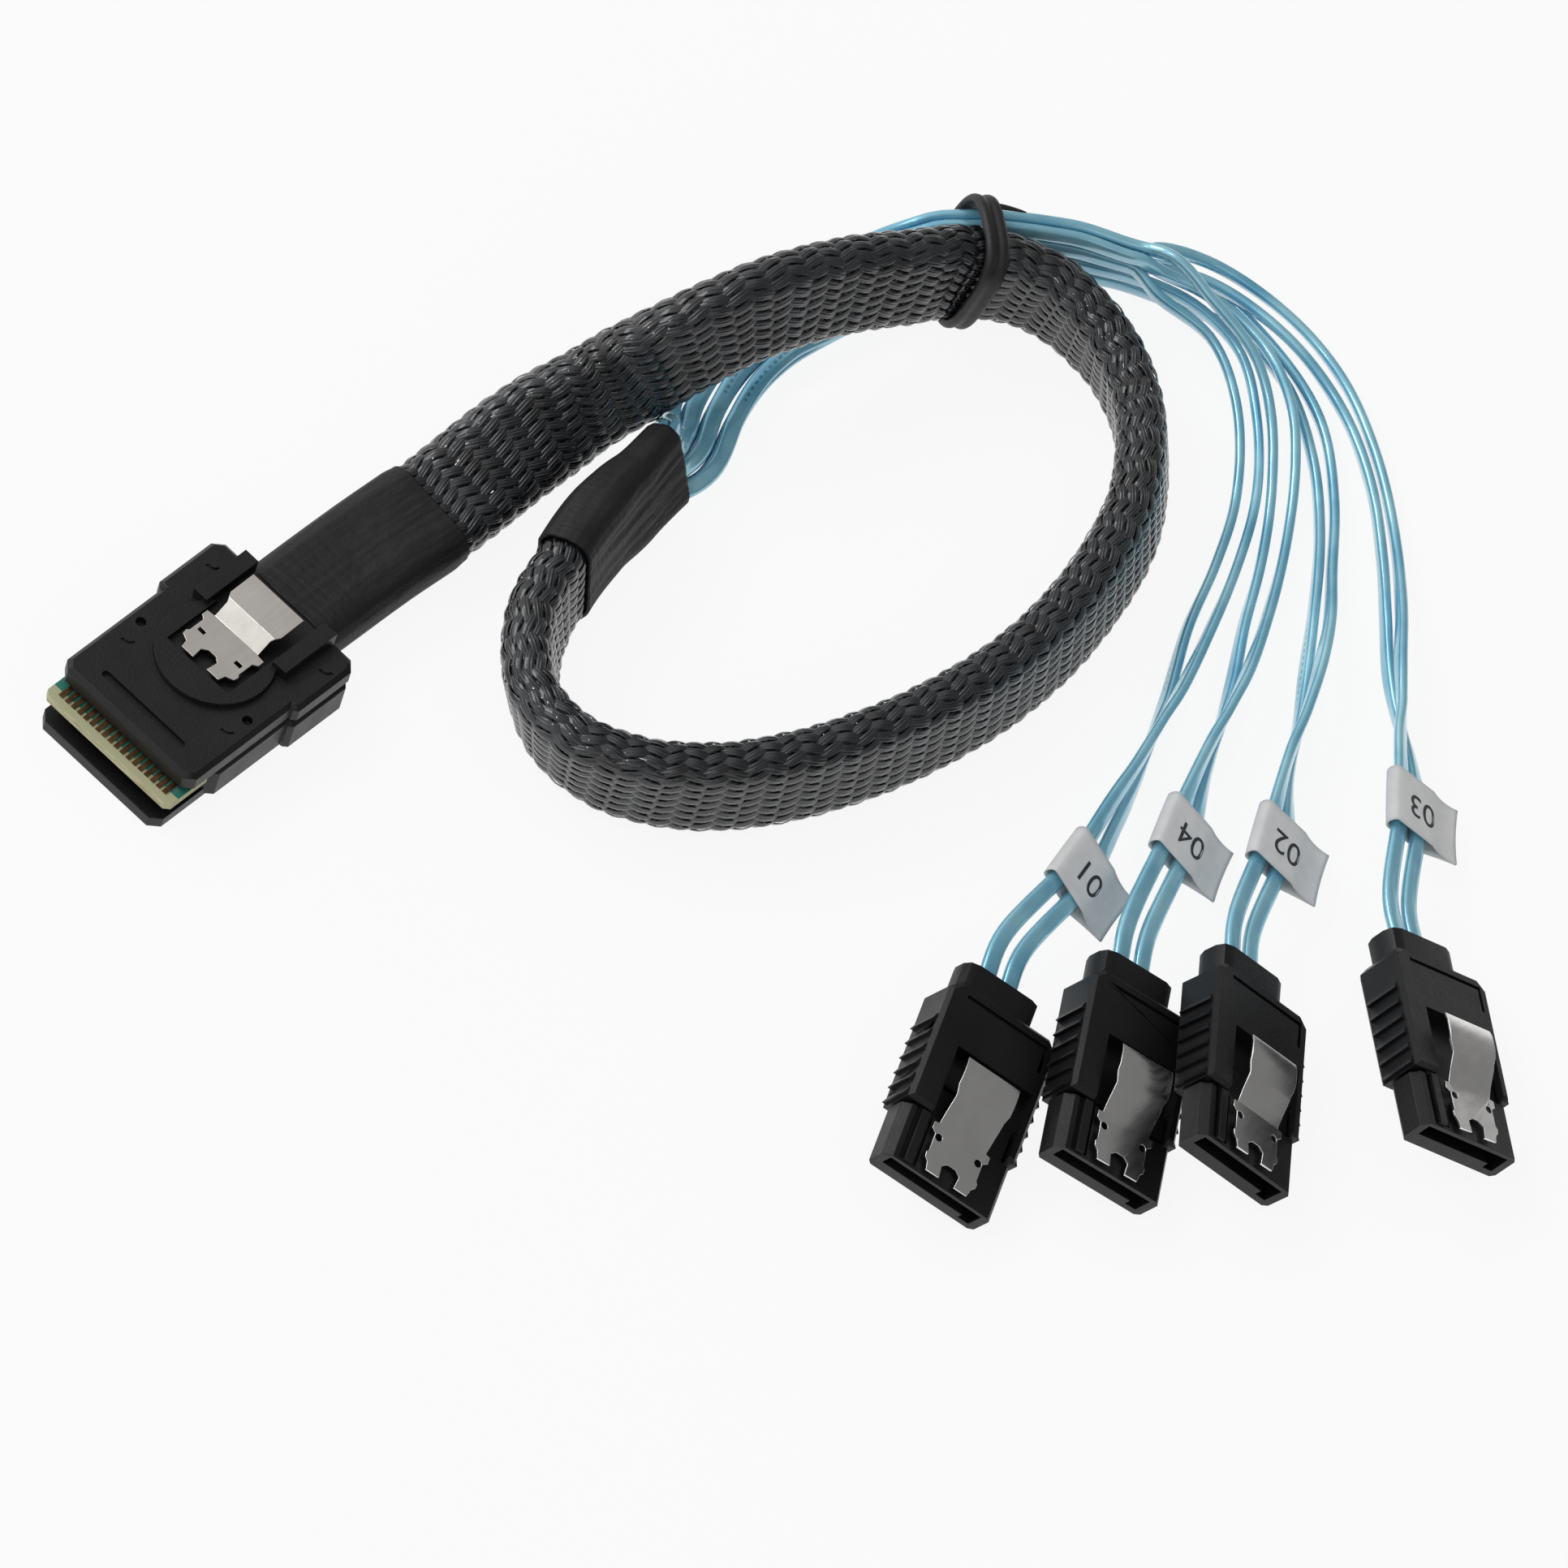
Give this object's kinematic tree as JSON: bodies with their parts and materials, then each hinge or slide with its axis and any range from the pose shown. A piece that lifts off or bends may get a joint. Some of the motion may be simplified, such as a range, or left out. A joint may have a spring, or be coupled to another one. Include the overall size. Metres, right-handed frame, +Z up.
{
  "type": "mini sas breakout cable",
  "caption": "Breakout cable: a wide host plug with a spring latch, a flat braided trunk laid in one loop, and flat blue leads to latched drive plugs.",
  "frame": {"origin": "centre of the host plug's underside, on the surface that the cable lies on", "axes": "+X is the host plug's mating direction, +Y is to its left seen from above with +X ahead, +Z is up"},
  "size_m": [0.1432, 0.1404, 0.02],
  "materials": {
    "black_plastic": "satin, moulded",
    "card": "circuit board, bare edge",
    "gold_plate": "thin gold plating",
    "nickel_plate": "bright, stamped",
    "potting": "matt",
    "braid": "glossy plastic braid",
    "shrink_tube": "matt, slightly wrinkled",
    "black_rubber": "satin",
    "lead_blue": "glossy, flat jacket",
    "paper": "matt"
  },
  "bodies": {
    "cable": {"host_top_shell": "black_plastic", "host_bottom_shell": "black_plastic", "paddle_card": "card", "contact_pads_top": "gold_plate", "contact_pads_bottom": "gold_plate", "strain_block": "potting", "braided_sleeve": "braid", "host_heat_shrink": "shrink_tube", "end_heat_shrink": "shrink_tube", "bundle_tie": "black_rubber", "drive_grip_1": "black_plastic", "drive_shell_1": "black_plastic", "drive_contacts_1": "gold_plate", "drive_grip_2": "black_plastic", "drive_shell_2": "black_plastic", "drive_contacts_2": "gold_plate", "drive_grip_3": "black_plastic", "drive_shell_3": "black_plastic", "drive_contacts_3": "gold_plate", "drive_grip_4": "black_plastic", "drive_shell_4": "black_plastic", "drive_contacts_4": "gold_plate", "lead_1": "lead_blue", "lead_2": "lead_blue", "lead_3": "lead_blue", "lead_4": "lead_blue", "lead_5": "lead_blue", "lead_6": "lead_blue", "lead_7": "lead_blue", "lead_8": "lead_blue", "label_1": "paper", "label_2": "paper", "label_3": "paper", "label_4": "paper"},
    "host_latch_body": {"host_latch": "nickel_plate"},
    "drive_latch_body_1": {"drive_latch_1": "nickel_plate"},
    "drive_latch_body_2": {"drive_latch_2": "nickel_plate"},
    "drive_latch_body_3": {"drive_latch_3": "nickel_plate"},
    "drive_latch_body_4": {"drive_latch_4": "nickel_plate"}
  },
  "joints": [
    {"name": "host_latch_press", "type": "hinge", "parent": "cable", "child": "host_latch_body", "pos_m": [0.0013, 0, 0.00835], "axis": [0, -1, 0], "range_deg": [0, 6], "stiffness_Nm_per_rad": 0.2},
    {"name": "drive_latch_press_1", "type": "hinge", "parent": "cable", "child": "drive_latch_body_1", "pos_m": [-0.01493, 0.09409, 0.00686], "axis": [0.4329, -0.7988, 0.4178], "range_deg": [0, 3.5], "stiffness_Nm_per_rad": 0.2},
    {"name": "drive_latch_press_2", "type": "hinge", "parent": "cable", "child": "drive_latch_body_2", "pos_m": [-0.02984, 0.10464, 0.00742], "axis": [0.5097, -0.7172, 0.4752], "range_deg": [0, 3.5], "stiffness_Nm_per_rad": 0.2},
    {"name": "drive_latch_press_3", "type": "hinge", "parent": "cable", "child": "drive_latch_body_3", "pos_m": [-0.04141, 0.11336, 0.00877], "axis": [0.4921, -0.6425, 0.5874], "range_deg": [0, 3.5], "stiffness_Nm_per_rad": 0.2},
    {"name": "drive_latch_press_4", "type": "hinge", "parent": "cable", "child": "drive_latch_body_4", "pos_m": [-0.06233, 0.12652, 0.00867], "axis": [0.6506, -0.5235, 0.5501], "range_deg": [0, 3.5], "stiffness_Nm_per_rad": 0.2}
  ]
}
